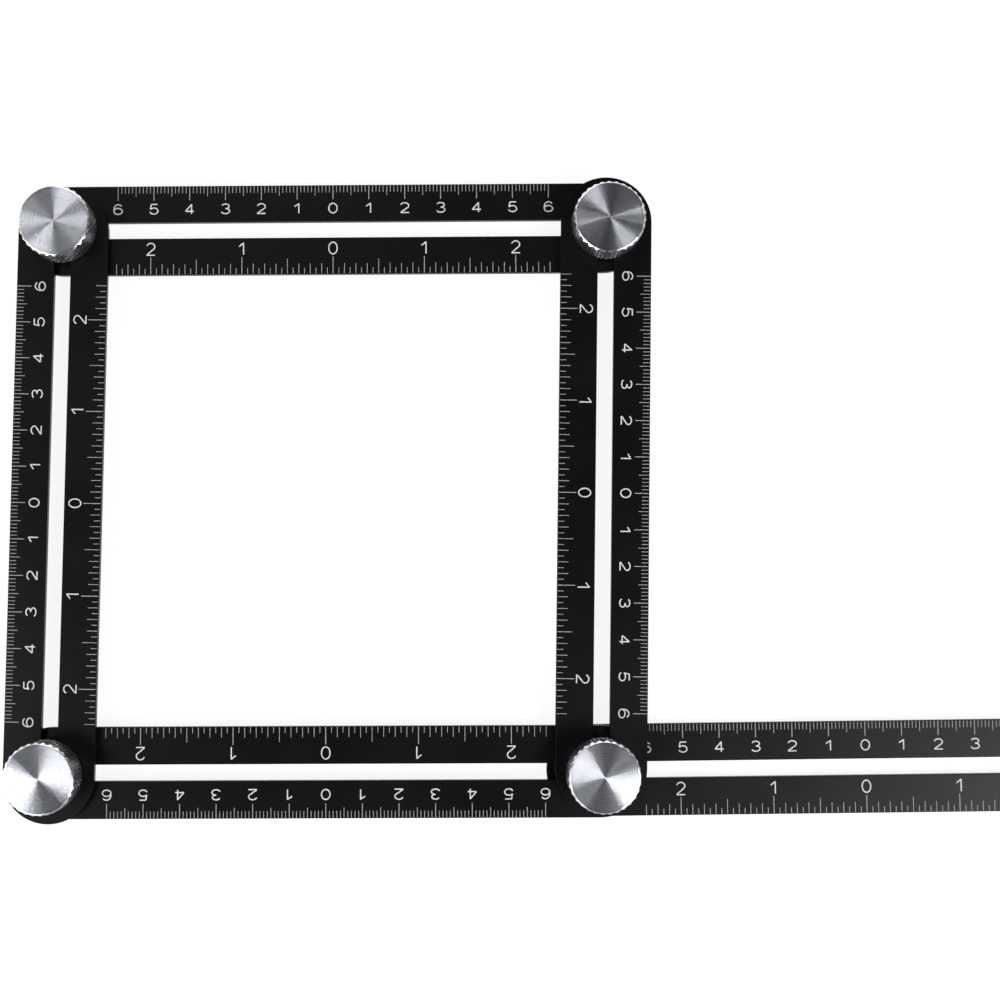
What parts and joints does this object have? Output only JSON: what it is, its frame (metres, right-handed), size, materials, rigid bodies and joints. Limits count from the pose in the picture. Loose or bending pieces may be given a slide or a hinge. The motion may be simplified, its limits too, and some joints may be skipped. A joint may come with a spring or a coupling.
{
  "type": "adjustable set square",
  "caption": "Slotted rule arms clamped by knurled knobs into a frame that folds and resizes, with a tail arm that swings and slides under one corner.",
  "frame": {"origin": "on the axis of the bottom right clamp screw, at the underside of its head", "axes": "+X along the bottom arm towards the tail arm, +Y towards the top arm, +Z out of the face with the scales and knobs"},
  "size_m": [0.3234, 0.177, 0.0194],
  "materials": {
    "black_arm": "black anodised",
    "marking": "white paint filling engraved marks",
    "knob": "turned, with knurled sides",
    "steel": "zinc plated",
    "friction_washer": "natural nylon"
  },
  "bodies": {
    "bottom_arm": {"bottom_arm": "black_arm", "spacer_bottom_right": "friction_washer", "spacer_tail": "friction_washer"},
    "right_arm": {"right_arm": "black_arm"},
    "top_right_carrier": {"spacer_top_right": "friction_washer"},
    "top_arm": {"top_arm": "black_arm", "screw_top_right": "steel"},
    "bottom_left_screw": {"screw_bottom_left": "steel", "spacer_bottom_left": "friction_washer"},
    "left_arm": {"left_arm": "black_arm"},
    "top_left_screw": {"screw_top_left": "steel", "spacer_top_left": "friction_washer"},
    "bottom_right_screw": {"screw_bottom_right": "steel"},
    "tail_arm": {"tail_arm": "black_arm"},
    "washer_bottom_left": {"washer_bottom_left": "steel"},
    "knob_bottom_left": {"knob_bottom_left": "knob"},
    "washer_top_left": {"washer_top_left": "steel"},
    "knob_top_left": {"knob_top_left": "knob"},
    "washer_top_right": {"washer_top_right": "steel"},
    "knob_top_right": {"knob_top_right": "knob"},
    "washer_bottom_right": {"washer_bottom_right": "steel"},
    "knob_bottom_right": {"knob_bottom_right": "knob"}
  },
  "joints": [
    {"name": "right_arm_swing", "type": "hinge", "parent": "bottom_arm", "child": "right_arm", "pos_m": [0, 0, 0], "axis": [0, 0, 1], "range_deg": [-30, 60]},
    {"name": "height_slide", "type": "slide", "parent": "right_arm", "child": "top_right_carrier", "axis": [-0.0197, -0.9998, 0], "range_m": [0, 0.06]},
    {"name": "top_arm_swing", "type": "hinge", "parent": "top_right_carrier", "child": "top_arm", "pos_m": [0.00296, 0.14997, 0], "axis": [0, 0, 1], "range_deg": [-60, 30]},
    {"name": "width_slide", "type": "slide", "parent": "bottom_arm", "child": "bottom_left_screw", "axis": [1, 0, 0], "range_m": [0, 0.06]},
    {"name": "left_arm_swing", "type": "hinge", "parent": "bottom_left_screw", "child": "left_arm", "pos_m": [-0.1504, 0, 0], "axis": [0, 0, 1], "range_deg": [-30, 60]},
    {"name": "top_left_screw_slide", "type": "slide", "parent": "top_arm", "child": "top_left_screw", "axis": [1, 0, 0], "range_m": [0, 0.06]},
    {"name": "tail_swing", "type": "hinge", "parent": "bottom_arm", "child": "bottom_right_screw", "pos_m": [0, 0, 0], "axis": [0, 0, 1], "range_deg": [-165, 45]},
    {"name": "tail_slide", "type": "slide", "parent": "bottom_right_screw", "child": "tail_arm", "axis": [1, 0.0087, 0], "range_m": [-0.065, 0.003]},
    {"name": "washer_bottom_left_rise", "type": "slide", "parent": "bottom_left_screw", "child": "washer_bottom_left", "axis": [0, 0, 1], "range_m": [0, 0.0011]},
    {"name": "knob_bottom_left_turn", "type": "hinge", "parent": "washer_bottom_left", "child": "knob_bottom_left", "pos_m": [-0.1504, 0, 0], "axis": [0, 0, 1], "range_deg": [0, 540]},
    {"name": "washer_top_left_rise", "type": "slide", "parent": "top_left_screw", "child": "washer_top_left", "axis": [0, 0, 1], "range_m": [0, 0.0011]},
    {"name": "knob_top_left_turn", "type": "hinge", "parent": "washer_top_left", "child": "knob_top_left", "pos_m": [-0.14744, 0.14997, 0], "axis": [0, 0, 1], "range_deg": [0, 540]},
    {"name": "washer_top_right_rise", "type": "slide", "parent": "top_arm", "child": "washer_top_right", "axis": [0, 0, 1], "range_m": [0, 0.0011]},
    {"name": "knob_top_right_turn", "type": "hinge", "parent": "washer_top_right", "child": "knob_top_right", "pos_m": [0.00296, 0.14997, 0], "axis": [0, 0, 1], "range_deg": [0, 540]},
    {"name": "washer_bottom_right_rise", "type": "slide", "parent": "bottom_right_screw", "child": "washer_bottom_right", "axis": [0, 0, 1], "range_m": [0, 0.0011]},
    {"name": "knob_bottom_right_turn", "type": "hinge", "parent": "washer_bottom_right", "child": "knob_bottom_right", "pos_m": [0, 0, 0], "axis": [0, 0, 1], "range_deg": [0, 540]}
  ],
  "couplings": [
    {"joint": "top_arm_swing", "follows": "right_arm_swing", "ratio": -1},
    {"joint": "left_arm_swing", "follows": "right_arm_swing", "ratio": 1},
    {"joint": "top_left_screw_slide", "follows": "width_slide", "ratio": 1},
    {"joint": "washer_bottom_left_rise", "follows": "knob_bottom_left_turn", "m_per_rad": 0.0001114},
    {"joint": "washer_top_left_rise", "follows": "knob_top_left_turn", "m_per_rad": 0.0001114},
    {"joint": "washer_top_right_rise", "follows": "knob_top_right_turn", "m_per_rad": 0.0001114},
    {"joint": "washer_bottom_right_rise", "follows": "knob_bottom_right_turn", "m_per_rad": 0.0001114}
  ]
}
